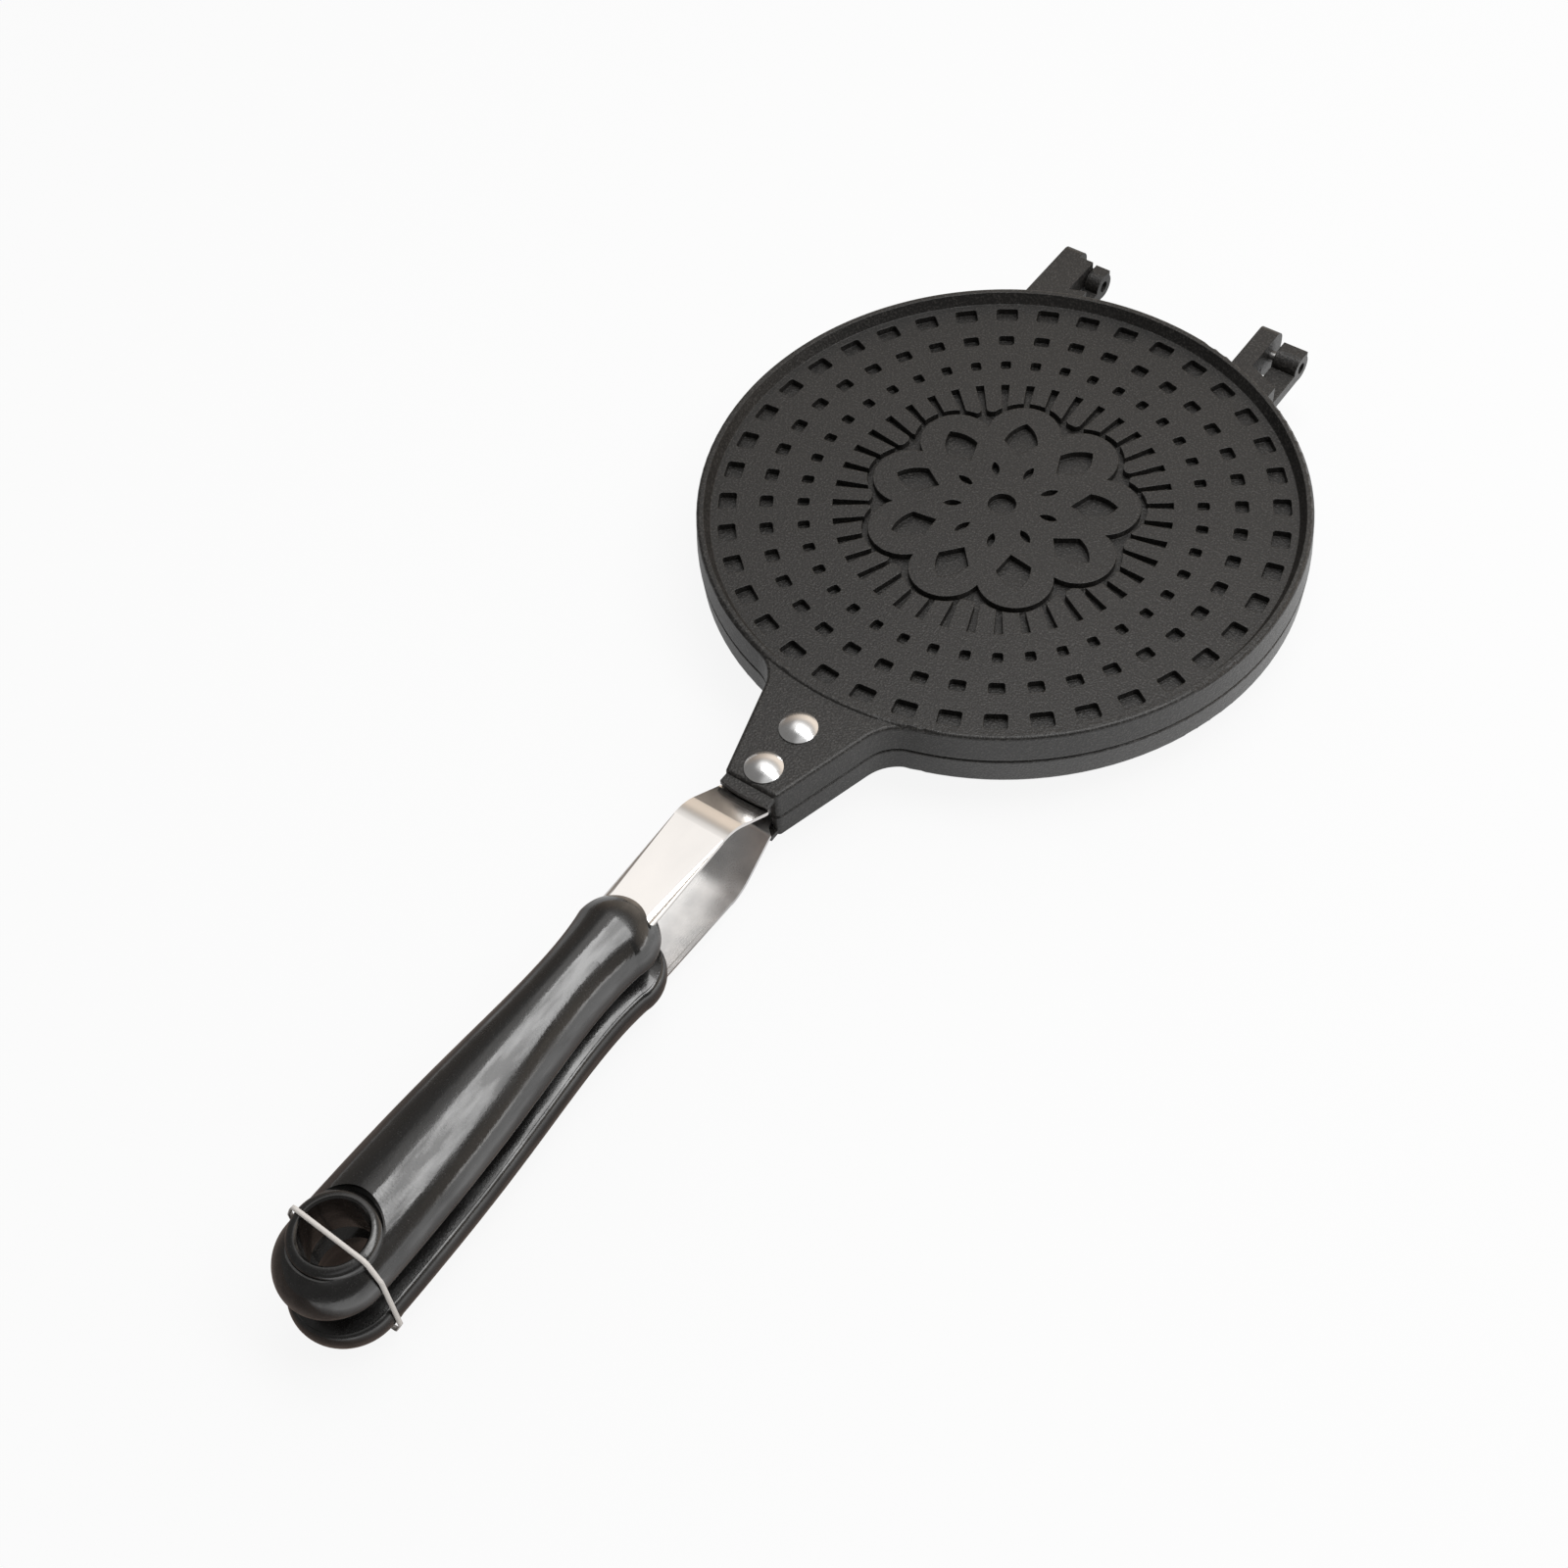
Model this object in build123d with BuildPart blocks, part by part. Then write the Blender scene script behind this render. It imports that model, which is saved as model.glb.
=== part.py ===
from build123d import *
import math
import os

os.makedirs("parts", exist_ok=True)

# An egg roll waffle maker: two round cast plates on a hinge, each with a handle.
# Millimetres, +Z up. The origin is the middle of the plates, on the plane of the
# lower rim. The handle points to -Y and the hinge is at +Y.
# The lower half mirrors the upper half about the parting plane, but for the hinge.

# Plates
plate_radius = 100.0
plates_height = 21.0
parting_gap = 0.3
wall_draft = 3.8
edge_rounding = 1.2
parting_edge_rounding = 0.7
recess_radius = 97.0
recess_depth = 3.7
recess_slope = 27.0
cavity_radius = 93.0
cavity_depth = 1.5
cavity_slope = 30.0

parting_height = plates_height / 2
parting_plane = Plane.XY.offset(parting_height)
seam_height = parting_height + parting_gap / 2
field_height = plates_height - recess_depth
cavity_height = seam_height + cavity_depth

# Pattern of the plates: rings of pockets around a flower, sunk on the outside and
# raised by less in the baking cavity
pocket_count = 40
pocket_step = 360 / pocket_count
first_pocket = -90 + pocket_step / 2
sunk_depth = 2.5
relief_height = 1.0
outer_ring_radius = 89.75
outer_pocket_across = 7.3
outer_pocket_radial = 5.8
outer_pocket_corner = 1.0
middle_ring_radius = 76.9
middle_pocket_across = 5.2
middle_pocket_radial = 4.4
middle_pocket_corner = 1.0
inner_ring_radius = 64.7
inner_pocket_across = 3.4
inner_pocket_radial = 3.9
inner_pocket_corner = 0.9
groove_width = 2.7
groove_end_radius = 55.2
bar_tip_radius = 42.5
bar_tip_half = 2.6
bar_tip_corner = 1.8

petal_count = 9
petal_step = 360 / petal_count
lobe_centre_radius = 32.6
lobe_radius = 12.2
lobe_moat = 2.0
flower_core_radius = 34.0
petal_point_radius = 22.2
petal_shoulder_radius = 28.4
petal_shoulder_half = 5.6
petal_flank_radius = 33.3
petal_flank_half = 3.9
petal_end_radius = 37.4
seed_inner_radius = 13.0
seed_belly_radius = 15.8
seed_belly_half = 1.2
seed_outer_radius = 19.2
eye_radius = 4.6

# Lugs that carry the handle
lug_reach = 138.5
lug_end_half_width = 9.8
lug_side_angle = 16.2
lug_root = 90.0
lug_root_blend = 13.5
lug_end_corner = 2.0
lug_step_down = 0.5
lug_skin = 3.5
lug_wall = 2.4
lug_channel_root = 102.0
lug_channel_corner = 2.0
lip_half_width = 8.8
lip_reach = 142.0
lip_arch = 0.8
lip_drop = 1.1
lip_thickness = 1.8
lip_overlap = 2.0

lug_top = plates_height - lug_step_down
lug_flare = math.tan(math.radians(lug_side_angle))
lug_channel_top = lug_top - lug_skin

# Hinge
hinge_reach = 113.0
bracket_centres = {"left": -39.0, "right": 39.0}
pad_inner_radius = 98.0
pad_outer_radius = 105.0
pad_height = 6.85
arm_root_radius = 101.5
ear_start = -9.1
ear_width = 6.8
ear_reach = 7.2
ear_corner = 4.2
ear_foot_radius = 7.0
tongue_starts = {"left": 3.7, "right": 0.2}
tongue_end = 9.2
tongue_thickness = 4.3
barrel_radius = 4.6
barrel_heel = 3.8
web_reach = 2.0
web_gap = 0.4
pin_radius = 2.0
pin_running_gap = 0.05
pin_end_recess = 1.5

bracket_width = tongue_end - ear_start
web_width = tongue_starts["left"] - web_gap - ear_start - ear_width

# Straps
strap_width = 18.0
strap_thickness = 1.2
strap_start = 104.5
strap_neck_half_width = 6.4
strap_neck_end = 139.2
strap_shoulder = 141.5
strap_rise_start = 141.5
strap_rise_end = 157.3
strap_top = 27.2
strap_lower_bend = 2.5
strap_upper_bend = 16.0
fold_start = 162.5
fold_full = 194.0
fold_start_depth = 1.5
fold_start_corner = 0.3
fold_depth = 2.6
fold_corner = 2.3
strap_end = 298.0
fold_inner_corner_least = 0.1

# Rivets
rivet_places = {"front": 113.2, "rear": 131.0}
rivet_head_radius = 6.0
rivet_head_height = 2.6
rivet_head_edge = 0.5
rivet_shank_radius = 2.5
rivet_foot_radius = 4.4
rivet_foot_height = 1.5

# Grips: a domed back over a slightly crowned inner face, waisted behind the nose
grip_inner_height = 13.5
grip_edge_height = 15.6
grip_widest_height = 19.0
grip_dome_height = 13.0
grip_edge_rounding = 1.8
nose_centre = 203.3
nose_radius = 13.3
tail_centre = 322.4
tail_radius = 16.3
grip_widths = {236.0: 12.3, 260.0: 14.2, 275.0: 15.2, 295.0: 16.0}
slot_gap = 0.1
hole_centre = 319.1
hole_radius = 9.6
hole_bevel_radius = 10.2
hole_bevel_depth = 0.6
boss_radius = 12.9
boss_top = 30.8
boss_rounding_across = 2.4
boss_rounding_height = 2.0
boss_clear_radius = 13.5

# Tie round both grips
tie_place = 320.5
tie_width = 1.4
tie_thickness = 0.5
tie_gap = 0.35
tie_shoulder = 23.5


def within_folds(vertex):
    """Whether a corner of the strap's section lies between its folded edges."""
    half_thickness = strap_thickness / 2
    return vertex.Y < strap_top - half_thickness and abs(vertex.X) < strap_width / 2 - half_thickness


def strap_section(distance, depth, corner):
    """The strap's folded section, square to its length."""
    with BuildSketch(Plane.XZ.offset(distance)) as section:
        with Locations((0, strap_top)):
            Rectangle(strap_width, depth, align=(Align.CENTER, Align.MAX))
        fillet(section.vertices().group_by(Axis.Y)[-1], corner)
        with Locations((0, strap_top - strap_thickness)):
            Rectangle(
                strap_width - 2 * strap_thickness,
                depth,
                align=(Align.CENTER, Align.MAX),
                mode=Mode.SUBTRACT,
            )
        inner_corner = max(corner - strap_thickness, fold_inner_corner_least)
        fillet(section.vertices().filter_by(within_folds).group_by(Axis.Y)[-1], inner_corner)
    return section.sketch


def grip_section(plane, half_width):
    """The grip's section: a domed back over a slightly crowned inner face."""
    face_half = half_width - grip_edge_rounding
    rounding_height = grip_widest_height - grip_edge_height
    with BuildSketch(plane) as section:
        with BuildLine():
            ThreePointArc(
                (-face_half, grip_edge_height),
                (0, grip_inner_height),
                (face_half, grip_edge_height),
            )
            EllipticalCenterArc(
                (face_half, grip_widest_height),
                grip_edge_rounding,
                rounding_height,
                start_angle=270,
                arc_size=90,
            )
            EllipticalCenterArc(
                (0, grip_widest_height),
                half_width,
                grip_dome_height,
                start_angle=0,
                arc_size=180,
            )
            EllipticalCenterArc(
                (-face_half, grip_widest_height),
                grip_edge_rounding,
                rounding_height,
                start_angle=180,
                arc_size=90,
            )
        make_face()
    return section.sketch


# Outline of a plate with its lug, at the parting plane
with BuildSketch(Plane.XY.offset(seam_height)) as plate_outline:
    Circle(plate_radius)
    with BuildLine():
        lug_root_half = lug_end_half_width + (lug_reach - lug_root) * lug_flare
        Polyline(
            (lug_root_half, -lug_root),
            (lug_end_half_width, -lug_reach),
            (-lug_end_half_width, -lug_reach),
            (-lug_root_half, -lug_root),
            close=True,
        )
    make_face()
    fillet(plate_outline.vertices().sort_by(Axis.Y)[2:4], lug_root_blend)
    fillet(plate_outline.vertices().sort_by(Axis.Y)[0:2], lug_end_corner)

# Bars left standing between the grooves, with rounded inner ends
bar_slope = math.tan(math.radians(pocket_step / 2))
bar_inset = groove_width / 2 / math.cos(math.radians(pocket_step / 2))
bar_end_half = groove_end_radius * bar_slope - bar_inset
bar_end = groove_end_radius + groove_width
with BuildSketch() as bar:
    with BuildLine():
        Polyline(
            (bar_tip_radius, -bar_tip_half),
            (bar_end, -bar_end_half),
            (bar_end, bar_end_half),
            (bar_tip_radius, bar_tip_half),
            close=True,
        )
    make_face()
    fillet(bar.vertices().group_by(Axis.X)[0], bar_tip_corner)
with BuildSketch() as bars:
    with PolarLocations(0, pocket_count, start_angle=-90):
        add(bar.sketch)
    with PolarLocations(lobe_centre_radius, petal_count, start_angle=-90):
        Circle(lobe_radius + lobe_moat, mode=Mode.SUBTRACT)

# The whole pattern: every face here is sunk on the outside of a plate
with BuildSketch() as pattern:
    Circle(groove_end_radius)
    add(bars.sketch, mode=Mode.SUBTRACT)
    Circle(flower_core_radius, mode=Mode.SUBTRACT)
    with PolarLocations(lobe_centre_radius, petal_count, start_angle=-90):
        Circle(lobe_radius, mode=Mode.SUBTRACT)
    with PolarLocations(outer_ring_radius, pocket_count, start_angle=first_pocket):
        RectangleRounded(outer_pocket_radial, outer_pocket_across, outer_pocket_corner)
    with PolarLocations(middle_ring_radius, pocket_count, start_angle=first_pocket):
        RectangleRounded(middle_pocket_radial, middle_pocket_across, middle_pocket_corner)
    with PolarLocations(inner_ring_radius, pocket_count, start_angle=first_pocket):
        RectangleRounded(inner_pocket_radial, inner_pocket_across, inner_pocket_corner)
    with PolarLocations(0, petal_count, start_angle=-90):
        with BuildLine(mode=Mode.PRIVATE) as petal_outline:
            Polyline(
                (petal_shoulder_radius, petal_shoulder_half),
                (petal_point_radius, 0),
                (petal_shoulder_radius, -petal_shoulder_half),
            )
            ThreePointArc(
                (petal_shoulder_radius, -petal_shoulder_half),
                (petal_flank_radius, -petal_flank_half),
                (petal_end_radius, 0),
            )
            ThreePointArc(
                (petal_end_radius, 0),
                (petal_flank_radius, petal_flank_half),
                (petal_shoulder_radius, petal_shoulder_half),
            )
        add(make_face(petal_outline.edges(), mode=Mode.PRIVATE))
    with PolarLocations(0, petal_count, start_angle=-90 + petal_step / 2):
        with BuildLine(mode=Mode.PRIVATE) as seed_outline:
            ThreePointArc(
                (seed_inner_radius, 0),
                (seed_belly_radius, -seed_belly_half),
                (seed_outer_radius, 0),
            )
            ThreePointArc(
                (seed_outer_radius, 0),
                (seed_belly_radius, seed_belly_half),
                (seed_inner_radius, 0),
            )
        add(make_face(seed_outline.edges(), mode=Mode.PRIVATE))
    Circle(eye_radius)

# The round body of a plate, its upper edge rounded
with BuildPart() as disc:
    with BuildSketch(Plane.XY.offset(seam_height)):
        Circle(plate_radius)
    extrude(amount=plates_height - seam_height, taper=wall_draft)
    fillet(disc.edges().group_by(Axis.Z)[-1], edge_rounding)

# One plate without its hinge pieces, the same casting for both halves
with BuildPart() as casting:
    extrude(plate_outline.sketch, amount=lug_top - seam_height, taper=wall_draft)
    fillet(casting.edges().group_by(Axis.Z)[-1], edge_rounding)
    add(disc.part)
    fillet(casting.edges().group_by(Axis.Z)[0], parting_edge_rounding)
    with BuildSketch(Plane.XY.offset(plates_height)):
        Circle(recess_radius)
    extrude(amount=-recess_depth, taper=recess_slope, mode=Mode.SUBTRACT)
    with BuildSketch(Plane.XY.offset(seam_height)):
        Circle(cavity_radius)
    extrude(amount=cavity_depth, taper=cavity_slope, mode=Mode.SUBTRACT)
    with BuildSketch(Plane.XY.offset(seam_height)) as channel:
        with BuildLine():
            channel_end_half = lug_end_half_width - lug_wall - lug_wall * lug_flare
            channel_end = lug_reach + lug_wall
            channel_length = channel_end - lug_channel_root
            channel_root_half = channel_end_half + channel_length * lug_flare
            Polyline(
                (channel_root_half, -lug_channel_root),
                (channel_end_half, -channel_end),
                (-channel_end_half, -channel_end),
                (-channel_root_half, -lug_channel_root),
                close=True,
            )
        make_face()
        fillet(channel.vertices().group_by(Axis.Y)[-1], lug_channel_corner)
    extrude(amount=lug_channel_top - seam_height, mode=Mode.SUBTRACT)
    with BuildSketch(Plane.XY.offset(lug_top - lip_drop)):
        with BuildLine():
            lip_root = lug_reach - lip_overlap
            Polyline(
                (lip_half_width, -lip_reach + lip_arch),
                (lip_half_width, -lip_root),
                (-lip_half_width, -lip_root),
                (-lip_half_width, -lip_reach + lip_arch),
            )
            ThreePointArc(
                (-lip_half_width, -lip_reach + lip_arch),
                (0, -lip_reach),
                (lip_half_width, -lip_reach + lip_arch),
            )
        make_face()
    extrude(amount=-lip_thickness)
    with BuildSketch(Plane.XY.offset(lug_top)):
        for place in rivet_places.values():
            with Locations((0, -place)):
                Circle(rivet_shank_radius)
    extrude(amount=-lug_skin, mode=Mode.SUBTRACT)
    with BuildSketch(Plane.XY.offset(field_height)):
        add(pattern.sketch)
    extrude(amount=-sunk_depth, mode=Mode.SUBTRACT)
    with BuildSketch(Plane.XY.offset(cavity_height)):
        add(pattern.sketch)
    extrude(amount=-relief_height)

# Hinge pads: short thick stretches of rim that the hinge arms grow from
with BuildPart() as pads:
    with BuildSketch(Plane.XY.offset(seam_height)):
        for centre in bracket_centres.values():
            with Locations((centre + ear_start, 0)):
                Rectangle(bracket_width, pad_outer_radius, align=(Align.MIN, Align.MIN))
        Circle(pad_outer_radius, mode=Mode.INTERSECT)
        Circle(pad_inner_radius, mode=Mode.SUBTRACT)
    extrude(amount=pad_height)

# Upper plate: an ear at each bracket holds the pin, the left ear widened by a web
with BuildPart() as upper_plate:
    add(casting.part)
    add(pads.part)
    for centre in bracket_centres.values():
        ear_left = centre + ear_start
        ear_far = max(abs(ear_left), abs(ear_left + ear_width))
        ear_root = math.sqrt(arm_root_radius**2 - ear_far**2)
        with BuildSketch(Plane.YZ.offset(ear_left)) as ear_side:
            with Locations((ear_root, seam_height)):
                Rectangle(
                    hinge_reach + ear_reach - ear_root,
                    pad_height,
                    align=(Align.MIN, Align.MIN),
                )
            fillet(ear_side.vertices().sort_by(Axis.X)[-2:].sort_by(Axis.Y)[-1], ear_corner)
            with Locations((hinge_reach, parting_height)):
                Circle(ear_foot_radius)
                Circle(pin_radius, mode=Mode.SUBTRACT)
        extrude(amount=ear_width)
    web_left = bracket_centres["left"] + ear_start + ear_width
    web_root = math.sqrt(arm_root_radius**2 - web_left**2)
    with BuildSketch(Plane.YZ.offset(web_left)):
        with Locations((web_root, seam_height)):
            Rectangle(
                hinge_reach + web_reach - web_root,
                pad_height,
                align=(Align.MIN, Align.MIN),
            )
        with Locations((hinge_reach, parting_height)):
            Circle(barrel_radius)
            Circle(pin_radius, mode=Mode.SUBTRACT)
    extrude(amount=web_width)
upper_plate.part.label = "upper_plate"
export_step(upper_plate.part, "parts/upper_plate.step")

# Lower plate: a tongue at each bracket ends in the flat-heeled barrel that turns on the pin
with BuildPart() as lower_plate:
    mirror(casting.part, about=parting_plane)
    mirror(pads.part, about=parting_plane)
    for side, centre in bracket_centres.items():
        tongue_left = centre + tongue_starts[side]
        tongue_far = max(abs(tongue_left), abs(centre + tongue_end))
        tongue_root = math.sqrt(arm_root_radius**2 - tongue_far**2)
        with BuildSketch(Plane.YZ.offset(tongue_left)):
            with Locations((tongue_root, parting_height - parting_gap / 2)):
                Rectangle(
                    hinge_reach - tongue_root,
                    tongue_thickness,
                    align=(Align.MIN, Align.MAX),
                )
            with Locations((hinge_reach, parting_height)):
                Circle(barrel_radius)
                Rectangle(barrel_heel, barrel_radius, align=(Align.MIN, Align.MIN))
                Circle(pin_radius + pin_running_gap, mode=Mode.SUBTRACT)
        extrude(amount=tongue_end - tongue_starts[side])
lower_plate.part.label = "lower_plate"
export_step(lower_plate.part, "parts/lower_plate.step")

# Hinge pins: tight in the ears, free in the barrels, their ends set in a little
for side, centre in bracket_centres.items():
    with BuildPart() as hinge_pin:
        with BuildSketch(Plane.YZ.offset(centre + ear_start)):
            with Locations((hinge_reach, parting_height)):
                Circle(pin_radius)
        extrude(amount=bracket_width - pin_end_recess)
    hinge_pin.part.label = "hinge_pin_" + side
    export_step(hinge_pin.part, "parts/hinge_pin_" + side + ".step")

# Upper strap: flat in the lug, bent up past the lip, its edges folded in towards the grip
with BuildPart() as upper_strap:
    with BuildSketch(Plane.YZ):
        with BuildLine():
            rise_middle = -(strap_rise_start + strap_rise_end) / 2
            rise_middle_height = (lug_channel_top + strap_top) / 2
            FilletPolyline(
                (-strap_start, lug_channel_top),
                (-strap_rise_start, lug_channel_top),
                (rise_middle, rise_middle_height),
                radius=strap_lower_bend,
            )
            FilletPolyline(
                (rise_middle, rise_middle_height),
                (-strap_rise_end, strap_top),
                (-fold_start, strap_top),
                radius=strap_upper_bend,
            )
            offset(amount=strap_thickness, side=Side.LEFT)
        make_face()
    extrude(amount=strap_width / 2, both=True)
    with BuildSketch(Plane.XY):
        with BuildLine():
            Polyline(
                (strap_neck_half_width, -strap_start),
                (strap_neck_half_width, -strap_neck_end),
                (strap_width / 2, -strap_shoulder),
                (strap_width / 2, -strap_end),
                (-strap_width / 2, -strap_end),
                (-strap_width / 2, -strap_shoulder),
                (-strap_neck_half_width, -strap_neck_end),
                (-strap_neck_half_width, -strap_start),
                close=True,
            )
        make_face()
    extrude(amount=strap_top + strap_thickness, mode=Mode.INTERSECT)
    loft(
        [
            strap_section(fold_start, fold_start_depth, fold_start_corner),
            strap_section(fold_full, fold_depth, fold_corner),
        ],
        ruled=True,
    )
    extrude(strap_section(fold_full, fold_depth, fold_corner), amount=strap_end - fold_full)
    with BuildSketch(Plane.XY.offset(lug_channel_top)):
        for place in rivet_places.values():
            with Locations((0, -place)):
                Circle(rivet_shank_radius)
    extrude(amount=-strap_thickness, mode=Mode.SUBTRACT)
upper_strap.part.label = "upper_strap"
export_step(upper_strap.part, "parts/upper_strap.step")

with BuildPart() as lower_strap:
    mirror(upper_strap.part, about=parting_plane)
lower_strap.part.label = "lower_strap"
export_step(lower_strap.part, "parts/lower_strap.step")

# Rivets: a domed head outside, a plain foot on the strap inside
foot_top = lug_channel_top - strap_thickness
for place_name, place in rivet_places.items():
    with BuildPart() as upper_rivet:
        with BuildSketch(Plane.XZ.offset(place)):
            with BuildLine():
                Polyline(
                    (0, lug_top + rivet_head_height),
                    (0, foot_top - rivet_foot_height),
                    (rivet_foot_radius, foot_top - rivet_foot_height),
                    (rivet_foot_radius, foot_top),
                    (rivet_shank_radius, foot_top),
                    (rivet_shank_radius, lug_top),
                    (rivet_head_radius, lug_top),
                    (rivet_head_radius, lug_top + rivet_head_edge),
                )
                RadiusArc(
                    (rivet_head_radius, lug_top + rivet_head_edge),
                    (0, lug_top + rivet_head_height),
                    -(rivet_head_radius**2 + (rivet_head_height - rivet_head_edge) ** 2)
                    / (2 * (rivet_head_height - rivet_head_edge)),
                )
            make_face()
        revolve(axis=Axis((0, -place, 0), (0, 0, 1)))
    upper_rivet.part.label = "upper_rivet_" + place_name
    export_step(upper_rivet.part, "parts/upper_rivet_" + place_name + ".step")
    with BuildPart() as lower_rivet:
        mirror(upper_rivet.part, about=parting_plane)
    lower_rivet.part.label = "lower_rivet_" + place_name
    export_step(lower_rivet.part, "parts/lower_rivet_" + place_name + ".step")

# Upper grip
with BuildPart() as upper_grip:
    stations = {nose_centre: nose_radius, **grip_widths, tail_centre: tail_radius}
    loft([grip_section(Plane.XZ.offset(place), half) for place, half in stations.items()])
    for place, radius in ((nose_centre, nose_radius), (tail_centre, tail_radius)):
        with BuildSketch(Plane.XZ.offset(place)):
            add(grip_section(Plane.XY, radius))
            with Locations((radius, grip_widest_height)):
                Rectangle(2 * radius, 4 * radius, mode=Mode.INTERSECT)
        revolve(axis=Axis((0, -place, 0), (0, 0, 1)))
    boss_shoulder = boss_top - boss_rounding_height
    with BuildSketch(Plane.XY.offset(boss_shoulder)):
        with Locations((0, -hole_centre)):
            Circle(boss_clear_radius)
    extrude(amount=grip_dome_height, mode=Mode.SUBTRACT)
    with BuildSketch(Plane.XZ.offset(hole_centre)):
        with BuildLine():
            Polyline(
                (boss_radius - boss_rounding_across, boss_top),
                (0, boss_top),
                (0, grip_widest_height),
                (boss_radius, grip_widest_height),
                (boss_radius, boss_shoulder),
            )
            EllipticalCenterArc(
                (boss_radius - boss_rounding_across, boss_shoulder),
                boss_rounding_across,
                boss_rounding_height,
                start_angle=0,
                arc_size=90,
            )
        make_face()
    revolve(axis=Axis((0, -hole_centre, 0), (0, 0, 1)))
    with BuildSketch(Plane.XY.offset(grip_inner_height)):
        with Locations((0, -hole_centre)):
            Circle(hole_radius)
    extrude(amount=boss_top - grip_inner_height, mode=Mode.SUBTRACT)
    with BuildSketch(Plane.XY.offset(boss_top)):
        with Locations((0, -hole_centre)):
            Circle(hole_bevel_radius)
    bevel_angle = math.degrees(math.atan2(hole_bevel_radius - hole_radius, hole_bevel_depth))
    extrude(amount=-hole_bevel_depth, taper=bevel_angle, mode=Mode.SUBTRACT)
    with BuildSketch(Plane.XZ.offset(nose_centre - nose_radius)) as slot:
        with Locations((0, strap_top + slot_gap)):
            Rectangle(
                strap_width + 2 * slot_gap,
                fold_depth + 2 * slot_gap,
                align=(Align.CENTER, Align.MAX),
            )
        fillet(slot.vertices().group_by(Axis.Y)[-1], fold_corner - slot_gap)
    extrude(amount=strap_end + slot_gap - nose_centre + nose_radius, mode=Mode.SUBTRACT)
upper_grip.part.label = "upper_grip"
export_step(upper_grip.part, "parts/upper_grip.step")

with BuildPart() as lower_grip:
    mirror(upper_grip.part, about=parting_plane)
lower_grip.part.label = "lower_grip"
export_step(lower_grip.part, "parts/lower_grip.step")

# Tie: a flat band drawn round both grips, over their bosses
boss_bottom = plates_height - boss_top
with BuildPart() as tie:
    with BuildSketch(Plane.XZ.offset(tie_place - tie_width / 2)):
        with BuildLine():
            Polyline(
                (boss_radius + tie_gap, boss_top + tie_gap),
                (tail_radius + tie_gap, tie_shoulder),
                (tail_radius + tie_gap, plates_height - tie_shoulder),
                (boss_radius + tie_gap, boss_bottom),
                (-boss_radius - tie_gap, boss_bottom),
                (-tail_radius - tie_gap, plates_height - tie_shoulder),
                (-tail_radius - tie_gap, tie_shoulder),
                (-boss_radius - tie_gap, boss_top + tie_gap),
                close=True,
            )
        inside = make_face(mode=Mode.PRIVATE)
        offset(inside, amount=tie_thickness)
        add(inside, mode=Mode.SUBTRACT)
    extrude(amount=tie_width)
tie.part.label = "tie"
export_step(tie.part, "parts/tie.step")
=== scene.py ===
import math

import bpy
from mathutils import Matrix, Vector

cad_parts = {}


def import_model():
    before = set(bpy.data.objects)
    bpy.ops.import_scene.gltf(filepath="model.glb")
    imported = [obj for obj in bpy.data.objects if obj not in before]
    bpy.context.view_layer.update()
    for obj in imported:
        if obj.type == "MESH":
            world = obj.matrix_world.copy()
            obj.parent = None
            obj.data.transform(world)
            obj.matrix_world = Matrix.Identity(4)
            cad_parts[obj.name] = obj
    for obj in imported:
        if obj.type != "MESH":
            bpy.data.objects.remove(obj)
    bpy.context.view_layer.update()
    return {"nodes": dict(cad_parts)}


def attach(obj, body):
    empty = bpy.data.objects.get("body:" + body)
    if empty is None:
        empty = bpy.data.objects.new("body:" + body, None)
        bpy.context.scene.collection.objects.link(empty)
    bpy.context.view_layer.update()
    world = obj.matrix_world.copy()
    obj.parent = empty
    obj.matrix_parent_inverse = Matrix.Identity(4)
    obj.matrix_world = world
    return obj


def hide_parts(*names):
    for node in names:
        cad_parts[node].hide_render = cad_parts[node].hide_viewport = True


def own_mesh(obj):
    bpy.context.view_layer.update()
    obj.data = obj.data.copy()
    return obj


# An egg roll waffle maker: two coated cast plates on a hinge, each with a steel strap
# and a black grip, tied shut at the end of the handle. Metres, +Z up, handle to -Y.

MM = 0.001

# Camera and stage
CAMERA_PLACE = (0.2809, -0.4496, 0.5787)
CAMERA_RIGHT = (0.8090, 0.5845, -0.0627)
CAMERA_UP = (-0.4393, 0.6720, 0.5961)
LENS = 54.0
SENSOR = 36.0
NEAREST_SEEN = 0.01
FLOOR_HEIGHT = -11.2 * MM
FLOOR_SIZE = 6.0
# Painted shade: what gloss mirrors of the floor beside the handle
PAINTED_SHADE_BESIDE_HANDLE = (0.16, 0.12, 0.10, 1.0)
BACKDROP_LIGHT = (0.96, 0.84, 0.72, 1.0)
BACKDROP_DARK = (0.32, 0.26, 0.21, 1.0)

# Soft lamps: place, the point each faces, width, height and brightness
SOFTBOXES = {
    "overhead": ((0.51, 0.22, 1.25), (0.51, 0.22, 0.0), 1.60, 0.54, 4.7),
    "right_card": ((1.30, 0.50, 0.06), (0.0, -0.2, 0.03), 0.8, 0.15, 2.2),
}

# Handle measures that the tie and the finishes follow
RIVET_PLACES = (-113.2 * MM, -131.0 * MM)
EDGE_ROUNDING = 0.35 * MM
BOSS_TOP = 30.8 * MM
BOSS_RADIUS = 12.9 * MM
GRIP_HALF_WIDTH = 16.3 * MM
GRIP_SHOULDER = 23.5 * MM
PARTING_HEIGHT = 10.5 * MM

# How deep the relief of each finish runs
CASTING_RELIEF = 0.21 * MM
STEEL_RELIEF = 0.004 * MM
RIVET_RELIEF = 0.003 * MM
GRIP_RELIEF = 0.28 * MM
PIN_RELIEF = 0.01 * MM
PAPER_RELIEF = 0.05 * MM

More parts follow.
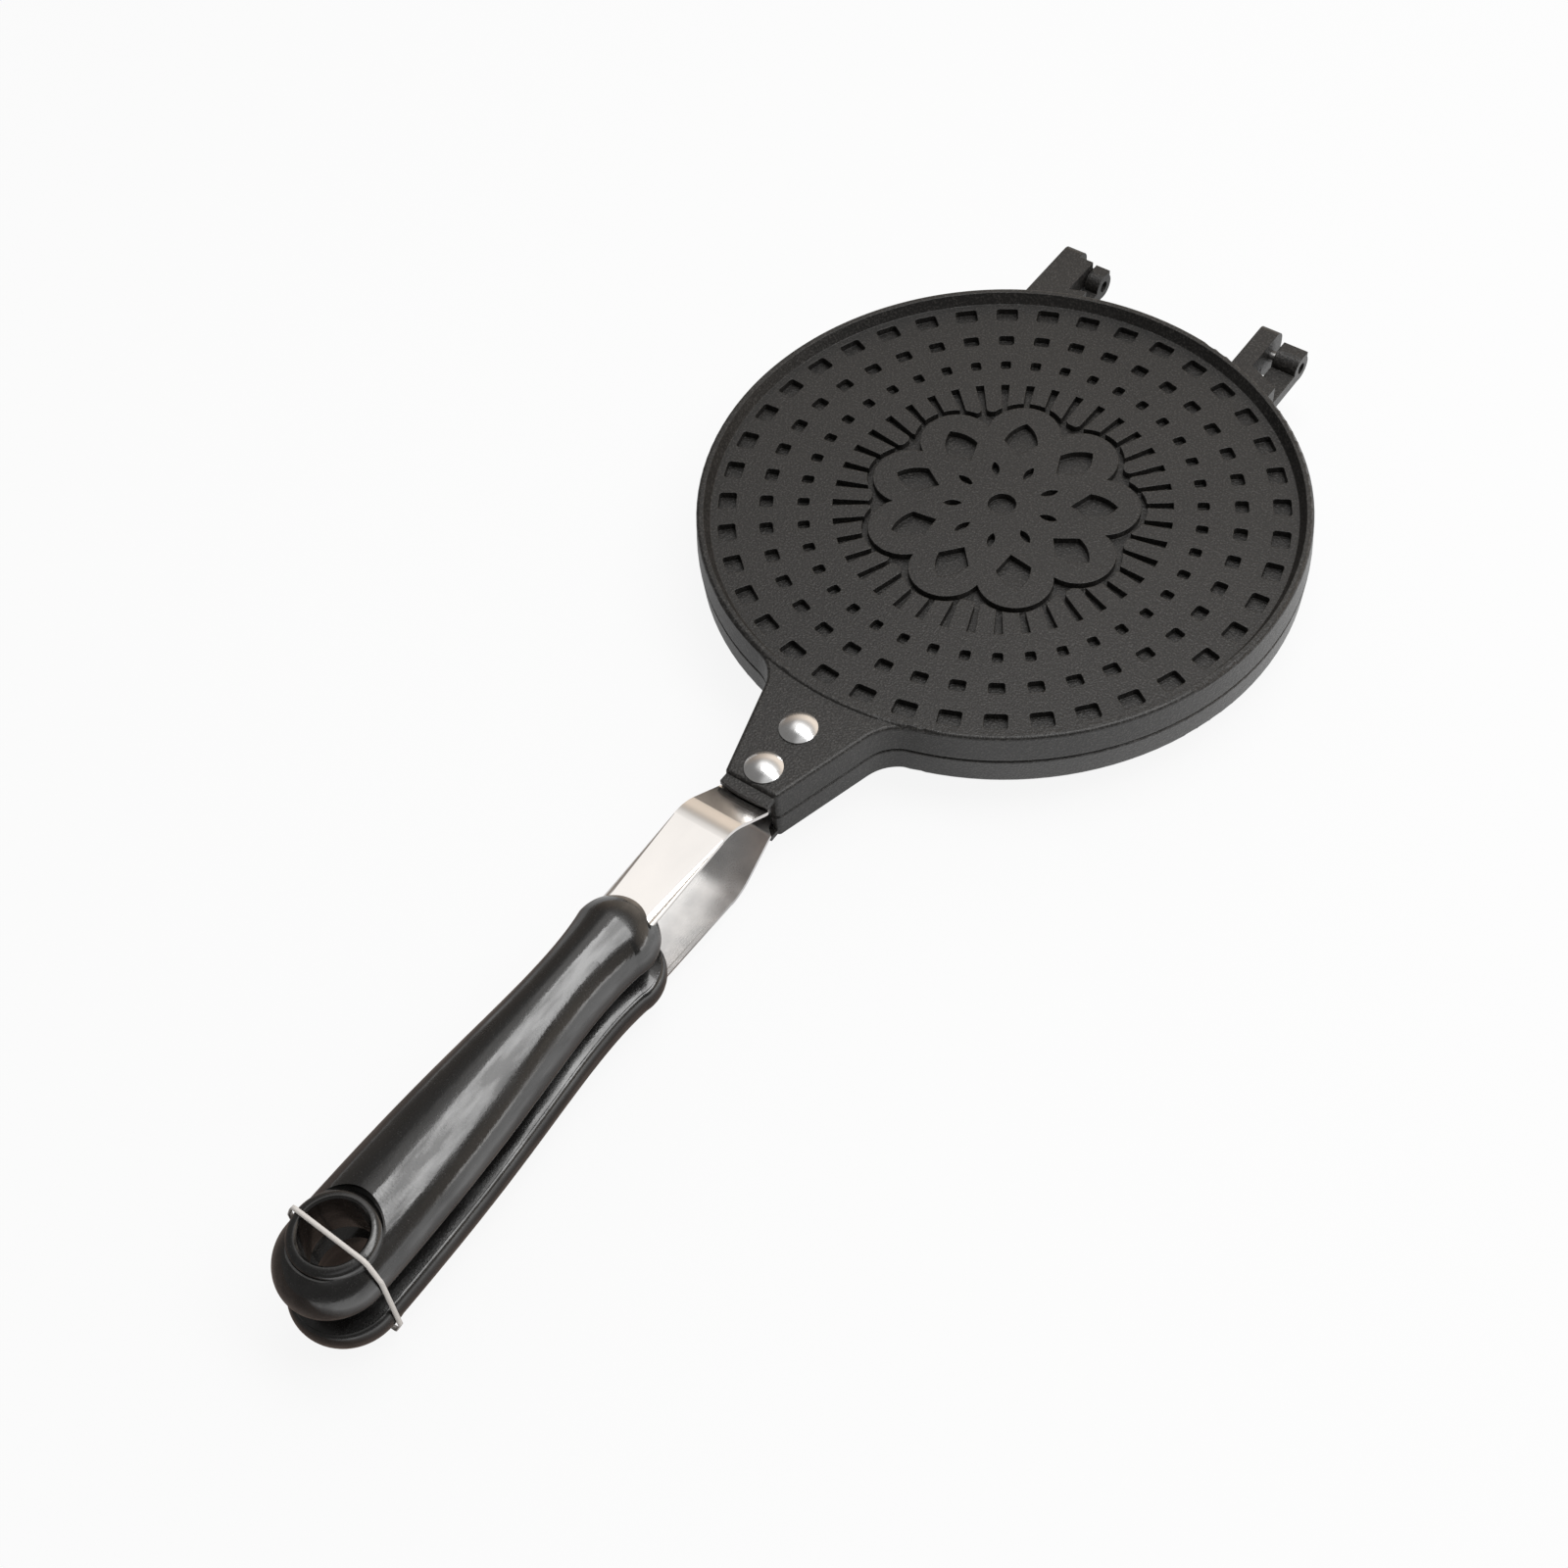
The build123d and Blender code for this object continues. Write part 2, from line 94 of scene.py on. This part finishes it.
# Tie
TIE_PLACE = -320.5 * MM
TIE_SKEW = 0.5 * MM
TIE_WIDTH = 1.4 * MM
TIE_THICKNESS = 0.45 * MM
TIE_CLEARANCE = 0.3 * MM
TIE_CORNER = 2.5 * MM
TWIST_LENGTH = 15.0 * MM
TWIST_RADIUS = 0.6 * MM
TWIST_TURNS = 3.5
TWIST_TURN = (math.radians(-107), 0.0, math.radians(5))
STRAND_RADIUS = 0.5 * MM


class Field:
    """A shader socket that adds, multiplies and compares as a number does."""

    def __init__(self, finish, socket):
        self.finish = finish
        self.socket = socket

    def maths(self, operation, *values):
        names = ("Value", "Value_001", "Value_002")
        sockets = dict(zip(names, values))
        return self.finish.node("ShaderNodeMath", {"operation": operation}, sockets)["Value"]

    def __add__(self, other):
        return self.maths("ADD", self, other)

    __radd__ = __add__

    def __mul__(self, other):
        return self.maths("MULTIPLY", self, other)

    __rmul__ = __mul__

    def __sub__(self, other):
        return self.maths("SUBTRACT", self, other)

    def __rsub__(self, other):
        return self.maths("SUBTRACT", other, self)

    def __truediv__(self, other):
        return self.maths("DIVIDE", self, other)

    def __pow__(self, other):
        return self.maths("POWER", self, other)

    def least(self, other):
        return self.maths("MINIMUM", self, other)

    def most(self, other):
        return self.maths("MAXIMUM", self, other)

    def ramp(self, low, high):
        """0 at low and below, 1 at high and above, straight between."""
        sockets = {"Value": self, "From Min": low, "From Max": high}
        return self.finish.node("ShaderNodeMapRange", {"clamp": True}, sockets)["Result"]


class Made:
    """A node whose outputs are read as fields."""

    def __init__(self, finish, node):
        self.finish = finish
        self.node = node

    def __getitem__(self, identifier):
        found = next(s for s in self.node.outputs if s.identifier == identifier)
        return Field(self.finish, found)


class Finish:
    """The node tree of one finish, or of the world."""

    def __init__(self, owner):
        owner.use_nodes = True
        self.owner = owner
        self.tree = owner.node_tree

    def node(self, kind, settings, sockets):
        """Adds a node: its settings first, then the values or links of its sockets."""
        node = self.tree.nodes.new(kind)
        for name, value in settings.items():
            setattr(node, name, value)
        self.fill(node, sockets)
        return Made(self, node)

    def fill(self, node, sockets):
        for identifier, value in sockets.items():
            socket = next(s for s in node.inputs if s.identifier == identifier)
            if isinstance(value, Field):
                self.tree.links.new(value.socket, socket)
            else:
                socket.default_value = value

    def place(self, stretch=(1.0, 1.0, 1.0)):
        """Object coordinates in metres, stretched along each axis."""
        place = self.node("ShaderNodeTexCoord", {}, {})["Object"]
        if stretch == (1.0, 1.0, 1.0):
            return place
        return self.node("ShaderNodeMapping", {}, {"Vector": place, "Scale": stretch})["Vector"]

    def noise(self, per_metre, detail=2.0, stretch=(1.0, 1.0, 1.0)):
        sockets = {"Vector": self.place(stretch), "Scale": per_metre, "Detail": detail}
        return self.node("ShaderNodeTexNoise", {}, sockets)["Fac"]

    def blend(self, share, first, second):
        """A colour between two colours."""
        sockets = {"Factor_Float": share, "A_Color": first, "B_Color": second}
        return self.node("ShaderNodeMix", {"data_type": "RGBA"}, sockets)["Result_Color"]

    def bump(self, height, depth, normal=None):
        """A normal from a height that runs from 0 to 1 over depth, in metres."""
        sockets = {"Height": height, "Distance": depth, "Strength": 1.0}
        if normal is not None:
            sockets["Normal"] = normal
        return self.node("ShaderNodeBump", {}, sockets)["Normal"]

    def surface(self, sockets):
        self.fill(self.tree.nodes["Principled BSDF"], sockets)
        return self.owner


def new_finish(name):
    return Finish(bpy.data.materials.new(name))


def grey(value, warmth=0.0):
    """A grey, warmer by that share in red and cooler by it in blue."""
    return (value * (1 + warmth), value, value * (1 - warmth), 1.0)


def coated_casting():
    """Satin non-stick coat over a grained casting, its edges a little rounded."""
    finish = new_finish("coated_casting")
    grain = finish.noise(1500.0, 1.0)
    pebble = finish.noise(700.0, 2.0)
    patch = finish.noise(28.0, 3.0)
    rounded = finish.node("ShaderNodeBevel", {"samples": 8}, {"Radius": EDGE_ROUNDING})["Normal"]
    base = finish.blend(patch.ramp(0.3, 0.7), grey(0.009, 0.07), grey(0.013, 0.09))
    colour = finish.blend(grain.ramp(0.50, 0.72) * 0.6, base, grey(0.070, 0.08))
    height = grain * 0.6 + pebble * 0.4
    return finish.surface(
        {
            "Base Color": colour,
            "Roughness": patch * 0.10 + pebble * 0.12 + 0.30,
            "Normal": finish.bump(height, CASTING_RELIEF, rounded),
        }
    )


def rolled_steel():
    """Bright rolled strip with fine lines along it; on the lower half rougher, its colour mottled
    by spots and painted shade.
    """
    finish = new_finish("rolled_steel")
    lines = finish.noise(9000.0, 1.0, (1.0, 0.02, 1.0))
    smear = finish.noise(70.0, 3.0, (1.0, 0.4, 1.0))
    spots = finish.noise(130.0, 4.0)
    height = finish.node("ShaderNodeSeparateXYZ", {}, {"Vector": finish.place()})["Z"]
    below = height.ramp(PARTING_HEIGHT + MM, PARTING_HEIGHT - MM)
    bright = finish.blend(smear.ramp(0.35, 0.7), grey(0.87, 0.03), grey(0.81, 0.025))
    # Below the parting the colour is partly spots and partly painted shade, standing for the upper
    # strap hanging over it
    spots_and_painted_shade = finish.blend(spots.ramp(0.4, 0.65), grey(0.90, 0.01), grey(0.76, 0.0))
    return finish.surface(
        {
            "Base Color": finish.blend(below, bright, spots_and_painted_shade),
            "Metallic": 1.0,
            "Roughness": lines * 0.06 + smear * 0.08 + below * 0.08 + 0.13,
            "Normal": finish.bump(lines * 0.7 + smear * 0.3, STEEL_RELIEF),
        }
    )


def turned_rivet():
    """Polished metal, with faint rings round the middle of each head."""
    finish = new_finish("turned_rivet")
    apart = finish.node("ShaderNodeSeparateXYZ", {}, {"Vector": finish.place()})
    reaches = [apart["X"] ** 2.0 + (apart["Y"] - place) ** 2.0 for place in RIVET_PLACES]
    reach = reaches[0].least(reaches[1]) ** 0.5
    turned = {"noise_dimensions": "1D"}
    rings = finish.node("ShaderNodeTexNoise", turned, {"W": reach, "Scale": 2600.0})["Fac"]
    dirt = finish.noise(420.0, 3.0)
    return finish.surface(
        {
            "Base Color": finish.blend(dirt.ramp(0.55, 0.8), grey(0.90), grey(0.80, 0.02)),
            "Metallic": 1.0,
            "Roughness": dirt * 0.06 + 0.20,
            "Normal": finish.bump(rings, RIVET_RELIEF),
        }
    )


def moulded_black():
    """Glossy black moulded grip, slightly wavy, with dust and rubs that dull its gloss."""
    finish = new_finish("moulded_black")
    wave = finish.noise(55.0, 1.0, (1.0, 0.35, 1.0))
    grain = finish.noise(1500.0, 2.0)
    dust = finish.noise(2400.0, 2.0)
    rub = finish.noise(260.0, 3.0, (1.0, 0.2, 1.0))
    return finish.surface(
        {
            "Base Color": finish.blend(dust.ramp(0.62, 0.80), grey(0.006, 0.05), grey(0.06, 0.04)),
            "Roughness": rub.ramp(0.35, 0.65) * 0.20 + dust * 0.12 + 0.06,
            "IOR": 1.6,
            "Coat Weight": rub.ramp(0.62, 0.40) * 0.45 + 0.25,
            "Coat Roughness": 0.08,
            "Coat IOR": 1.5,
            "Normal": finish.bump(wave * 0.9 + grain * 0.1, GRIP_RELIEF),
        }
    )


def drawn_pin():
    """Dull drawn wire of the hinge pins."""
    finish = new_finish("drawn_pin")
    lines = finish.noise(4000.0, 1.0, (0.05, 1.0, 1.0))
    return finish.surface(
        {
            "Base Color": finish.blend(lines, grey(0.30, 0.02), grey(0.42, 0.01)),
            "Metallic": 1.0,
            "Roughness": lines * 0.15 + 0.30,
            "Normal": finish.bump(lines, PIN_RELIEF),
        }
    )


def waxed_paper():
    """Cream paper of the tie, with a fine weave and a slight sheen."""
    finish = new_finish("waxed_paper")
    fibre = finish.noise(3500.0, 2.0)
    return finish.surface(
        {
            "Base Color": finish.blend(fibre, grey(0.66, 0.07), grey(0.80, 0.05)),
            "Roughness": fibre * 0.2 + 0.45,
            "Normal": finish.bump(fibre, PAPER_RELIEF),
        }
    )


def add_camera():
    """The camera at the photograph's angle, fitted to the plates and the handle."""
    right = Vector(CAMERA_RIGHT).normalized()
    up = Vector(CAMERA_UP).normalized()
    back = right.cross(up)
    turn = Matrix((right, up, back)).transposed().to_4x4()
    data = bpy.data.cameras.new("camera")
    data.lens = LENS
    data.sensor_width = SENSOR
    data.clip_start = NEAREST_SEEN
    camera = bpy.data.objects.new("camera", data)
    camera.matrix_world = Matrix.Translation(CAMERA_PLACE) @ turn
    bpy.context.collection.objects.link(camera)
    bpy.context.scene.camera = camera


def add_floor():
    """White to the eye. What gloss mirrors of it is painted: painted shade beside the handle,
    painted light at the right.
    """
    finish = new_finish("white_floor")
    path = finish.node("ShaderNodeLightPath", {}, {})
    apart = finish.node("ShaderNodeSeparateXYZ", {}, {"Vector": finish.place()})
    # Painted reflection: gloss sees the floor in painted shade beside the handle and in painted
    # light to the right
    painted_light_rightward = apart["X"].ramp(0.02, 0.06)
    painted_shade_beside = apart["Y"].ramp(-0.15, -0.19) * (1 - painted_light_rightward)
    painted_light_colour = finish.blend(painted_light_rightward, grey(0.66), grey(1.30))
    mirrored = finish.blend(painted_shade_beside, painted_light_colour, PAINTED_SHADE_BESIDE_HANDLE)
    seen = path["Is Camera Ray"].most(path["Is Transmission Ray"])
    share = seen.most(path["Is Glossy Ray"]) * 0.9
    colour = finish.blend(path["Is Glossy Ray"], grey(1.0), mirrored)
    finish.surface({"Base Color": grey(0.85), "Roughness": 0.9})
    glow = finish.node("ShaderNodeEmission", {}, {"Color": colour, "Strength": 1.0})["Emission"]
    matte = Field(finish, finish.tree.nodes["Principled BSDF"].outputs[0])
    mixed = {"Fac": share, "Shader": matte, "Shader_001": glow}
    both = finish.node("ShaderNodeMixShader", {}, mixed)
    finish.fill(finish.tree.nodes["Material Output"], {"Surface": both["Shader"]})
    bpy.ops.mesh.primitive_plane_add(size=FLOOR_SIZE, location=(0, 0, FLOOR_HEIGHT))
    floor = bpy.context.object
    floor.name = "floor"
    floor.data.materials.append(finish.owner)


def add_world():
    """White to the eye. What metal mirrors is dark in front and warm low at the back."""
    world = bpy.data.worlds.new("studio")
    bpy.context.scene.world = world
    finish = Finish(world)
    path = finish.node("ShaderNodeLightPath", {}, {})
    towards = finish.node("ShaderNodeTexCoord", {}, {})["Generated"]
    apart = finish.node("ShaderNodeSeparateXYZ", {}, {"Vector": towards})
    across = apart["X"]
    along = apart["Y"]
    height = apart["Z"]
    low_back = along.ramp(0.1, 0.7) * (1 - height.ramp(0.40, 0.70))
    leftward = across.ramp(-0.3, -0.85)
    backdrop = finish.blend(leftward, BACKDROP_LIGHT, BACKDROP_DARK)
    sides = (1 - across.ramp(-0.50, -0.64) * 0.9) * (1 - across.ramp(0.35, 0.55) * 0.85)
    fading = 1 - along.ramp(0.45, 0.75) * 0.6
    overhead = along.ramp(-0.1, 0.35) * height.ramp(0.50, 0.76) * sides * fading
    window = across.ramp(0.0, 0.3) * height.ramp(0.6, 0.8) * along.ramp(0.15, -0.15)
    front = finish.blend(window, grey(0.18, 0.02), grey(0.55))
    room = finish.blend(overhead, front, grey(1.05, 0.02))
    mirrored = finish.blend(low_back, room, backdrop)
    behind = along.ramp(-0.5, 0.6)
    spread = finish.blend(behind, grey(0.10), grey(0.72))
    shone = finish.blend(path["Is Glossy Ray"], spread, mirrored)
    seen = path["Is Camera Ray"].most(path["Is Transmission Ray"])
    colour = finish.blend(seen, shone, grey(1.0))
    finish.fill(finish.tree.nodes["Background"], {"Color": colour, "Strength": 1.0})


def add_softbox(name, place, target, width, height, radiance):
    """A soft lamp of that brightness, aimed at a point."""
    data = bpy.data.lights.new(name, "AREA")
    data.shape = "RECTANGLE"
    data.size = width
    data.size_y = height
    data.energy = radiance * math.pi * width * height
    lamp = bpy.data.objects.new(name, data)
    lamp.location = place
    lamp.rotation_euler = (Vector(target) - Vector(place)).to_track_quat("-Z", "Y").to_euler()
    lamp.visible_camera = False
    bpy.context.collection.objects.link(lamp)


def tie_line():
    """The line that the tie follows round both grips, over their bosses."""
    reach = TIE_CLEARANCE + TIE_THICKNESS / 2
    top = BOSS_TOP + reach
    boss = BOSS_RADIUS + reach
    side = GRIP_HALF_WIDTH + reach
    depth = 2 * PARTING_HEIGHT
    right = [(boss, top), (side, GRIP_SHOULDER), (side, depth - GRIP_SHOULDER), (boss, depth - top)]
    left = [(-across, height) for across, height in reversed(right)]
    skew = TIE_SKEW / boss
    return [(across, TIE_PLACE - across * skew, height) for across, height in right + left]


def add_line(name, points, closed):
    """A curve of straight lengths through the points."""
    curve = bpy.data.curves.new(name, "CURVE")
    curve.dimensions = "3D"
    spline = curve.splines.new("POLY")
    spline.points.add(len(points) - 1)
    for point, place in zip(spline.points, points):
        point.co = (*place, 1.0)
    spline.use_cyclic_u = closed
    line = bpy.data.objects.new(name, curve)
    bpy.context.collection.objects.link(line)
    return line


class Growth:
    """A geometry tree with named inputs, built node by node."""

    def __init__(self, name, inputs):
        self.tree = bpy.data.node_groups.new(name, "GeometryNodeTree")
        shape = "NodeSocketGeometry"
        self.tree.interface.new_socket("Geometry", in_out="INPUT", socket_type=shape)
        for label, kind in inputs.items():
            self.tree.interface.new_socket(label, in_out="INPUT", socket_type=kind)
        self.tree.interface.new_socket("Geometry", in_out="OUTPUT", socket_type=shape)
        self.start = self.tree.nodes.new("NodeGroupInput")

    def given(self, label):
        return self.start.outputs[label]

    def node(self, kind, settings, sockets):
        node = self.tree.nodes.new(kind)
        for name, value in settings.items():
            setattr(node, name, value)
        for identifier, value in sockets.items():
            socket = next(s for s in node.inputs if s.identifier == identifier)
            if isinstance(value, bpy.types.NodeSocket):
                self.tree.links.new(value, socket)
            elif isinstance(value, list):
                for each in value:
                    self.tree.links.new(each, socket)
            else:
                socket.default_value = value
        return node.outputs[0]

    def end(self, geometry, material):
        """Realizes the copies, gives them their finish and closes the tree."""
        real = self.node("GeometryNodeRealizeInstances", {}, {"Geometry": geometry})
        dressed = self.node("GeometryNodeSetMaterial", {}, {"Geometry": real, "Material": material})
        out = self.tree.nodes.new("NodeGroupOutput")
        self.tree.links.new(dressed, out.inputs["Geometry"])

    def grow(self, carrier, name, values):
        """The mesh that the tree makes on the carrier, as an object of its own."""
        modifier = carrier.modifiers.new("growth", "NODES")
        modifier.node_group = self.tree
        for item in self.tree.interface.items_tree:
            if item.in_out == "INPUT" and item.name in values:
                modifier[item.identifier] = values[item.name]
        bpy.context.view_layer.update()
        shaped = carrier.evaluated_get(bpy.context.evaluated_depsgraph_get())
        mesh = bpy.data.meshes.new_from_object(shaped)
        carrier.modifiers.remove(modifier)
        mesh.name = name
        grown = bpy.data.objects.new(name, mesh)
        bpy.context.collection.objects.link(grown)
        return grown


def tie_growth():
    """Sweeps a flat band along a closed line and twists its two ends together."""
    growth = Growth(
        "tie_growth",
        {
            "Width": "NodeSocketFloat",
            "Thickness": "NodeSocketFloat",
            "Corner": "NodeSocketFloat",
            "Twist Length": "NodeSocketFloat",
            "Twist Radius": "NodeSocketFloat",
            "Twist Turns": "NodeSocketFloat",
            "Strand Radius": "NodeSocketFloat",
            "Twist Place": "NodeSocketVector",
            "Twist Turn": "NodeSocketVector",
            "Finish": "NodeSocketMaterial",
        },
    )
    eased = growth.node(
        "GeometryNodeFilletCurve",
        {"mode": "POLY"},
        {
            "Curve": growth.given("Geometry"),
            "Count": 6,
            "Radius": growth.given("Corner"),
            "Limit Radius": True,
        },
    )
    section = growth.node(
        "GeometryNodeCurvePrimitiveQuadrilateral",
        {"mode": "RECTANGLE"},
        {"Width": growth.given("Width"), "Height": growth.given("Thickness")},
    )
    turned = growth.node(
        "GeometryNodeSetCurveNormal",
        {"mode": "FREE"},
        {"Curve": eased, "Normal": (0.0, 1.0, 0.0)},
    )
    band = growth.node("GeometryNodeCurveToMesh", {}, {"Curve": turned, "Profile Curve": section})
    strand = growth.node(
        "GeometryNodeCurveSpiral",
        {},
        {
            "Resolution": 20,
            "Rotations": growth.given("Twist Turns"),
            "Start Radius": growth.given("Twist Radius"),
            "End Radius": growth.given("Twist Radius"),
            "Height": growth.given("Twist Length"),
        },
    )
    opposite = growth.node(
        "GeometryNodeTransform",
        {},
        {"Geometry": strand, "Rotation": (0.0, 0.0, math.pi)},
    )
    pair = growth.node("GeometryNodeJoinGeometry", {}, {"Geometry": [strand, opposite]})
    ring = growth.node(
        "GeometryNodeCurvePrimitiveCircle",
        {"mode": "RADIUS"},
        {"Resolution": 10, "Radius": growth.given("Strand Radius")},
    )
    strands = growth.node(
        "GeometryNodeCurveToMesh",
        {},
        {"Curve": pair, "Profile Curve": ring, "Fill Caps": True},
    )
    seated = growth.node(
        "GeometryNodeTransform",
        {},
        {
            "Geometry": strands,
            "Translation": growth.given("Twist Place"),
            "Rotation": growth.given("Twist Turn"),
        },
    )
    whole = growth.node("GeometryNodeJoinGeometry", {}, {"Geometry": [band, seated]})
    growth.end(whole, growth.given("Finish"))
    return growth


def add_tie(finish):
    """The tie in its photographed form, on the lower half."""
    line = add_line("tie_line", tie_line(), True)
    side = GRIP_HALF_WIDTH + TIE_CLEARANCE + TIE_THICKNESS
    tie = tie_growth().grow(
        line,
        "tie_band",
        {
            "Width": TIE_WIDTH,
            "Thickness": TIE_THICKNESS,
            "Corner": TIE_CORNER,
            "Twist Length": TWIST_LENGTH,
            "Twist Radius": TWIST_RADIUS,
            "Twist Turns": TWIST_TURNS,
            "Strand Radius": STRAND_RADIUS,
            "Twist Place": (-side - STRAND_RADIUS, TIE_PLACE + TIE_SKEW, PARTING_HEIGHT),
            "Twist Turn": TWIST_TURN,
            "Finish": finish,
        },
    )
    bpy.data.objects.remove(line)
    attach(tie, "lower")
    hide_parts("tie")
    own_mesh(tie)


def dress(frame, finishes):
    """Gives each node the finish that its name calls for."""
    for name, thing in frame["nodes"].items():
        finish = next(f for part, f in finishes.items() if part in name)
        for index in range(len(thing.material_slots)):
            thing.material_slots[index].material = finish


def main():
    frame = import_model()
    add_camera()
    add_world()
    add_floor()
    for name, measures in SOFTBOXES.items():
        add_softbox(name, *measures)
    paper = waxed_paper()
    dress(
        frame,
        {
            "plate": coated_casting(),
            "strap": rolled_steel(),
            "rivet": turned_rivet(),
            "grip": moulded_black(),
            "pin": drawn_pin(),
            "tie": paper,
        },
    )
    add_tie(paper)
    bpy.context.scene.view_settings.view_transform = "Standard"


main()
